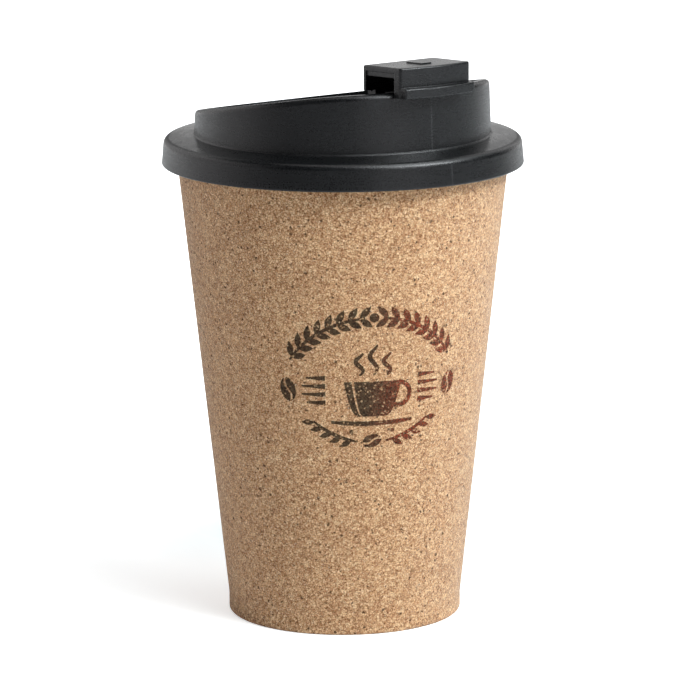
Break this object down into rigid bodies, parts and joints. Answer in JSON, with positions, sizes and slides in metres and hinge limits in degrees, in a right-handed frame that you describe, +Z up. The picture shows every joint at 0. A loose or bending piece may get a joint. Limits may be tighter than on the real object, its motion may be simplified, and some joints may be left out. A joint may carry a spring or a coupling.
{
  "type": "travel cup",
  "caption": "Rigid cork-clad travel cup with a plastic liner, a push-on lid with a sloping recessed top, and a hinged flip cover with a stopper over the sip hole.",
  "frame": {"origin": "centre of the foot, on the table", "axes": "+Z up along the cup's axis, -Y towards the mouth and the flip cover's thumb tab, +X to the left of a drinker who faces the mouth"},
  "size_m": [0.0952, 0.0952, 0.151],
  "materials": {
    "cork": "fine agglomerated cork, sanded, matt",
    "liner_plastic": "black polypropylene, satin",
    "lid_plastic": "charcoal black polypropylene, fine satin texture",
    "silicone": "dark grey food-grade silicone",
    "steel": "stainless steel"
  },
  "bodies": {
    "cup": {"cork_sleeve": "cork", "cork_base": "cork", "inner_liner": "liner_plastic"},
    "lid": {"lid_shell": "lid_plastic", "lid_seal": "silicone", "hinge_pin": "steel"},
    "cover": {"sip_cover": "lid_plastic", "cover_insert": "lid_plastic", "sip_stopper": "silicone"}
  },
  "joints": [
    {"name": "lid_lift", "type": "slide", "parent": "cup", "child": "lid", "axis": [0, 0, 1], "range_m": [0, 0.03]},
    {"name": "cover_flip", "type": "hinge", "parent": "lid", "child": "cover", "pos_m": [0, -0.0228, 0.1435], "axis": [-1, 0, 0], "range_deg": [0, 130]}
  ]
}
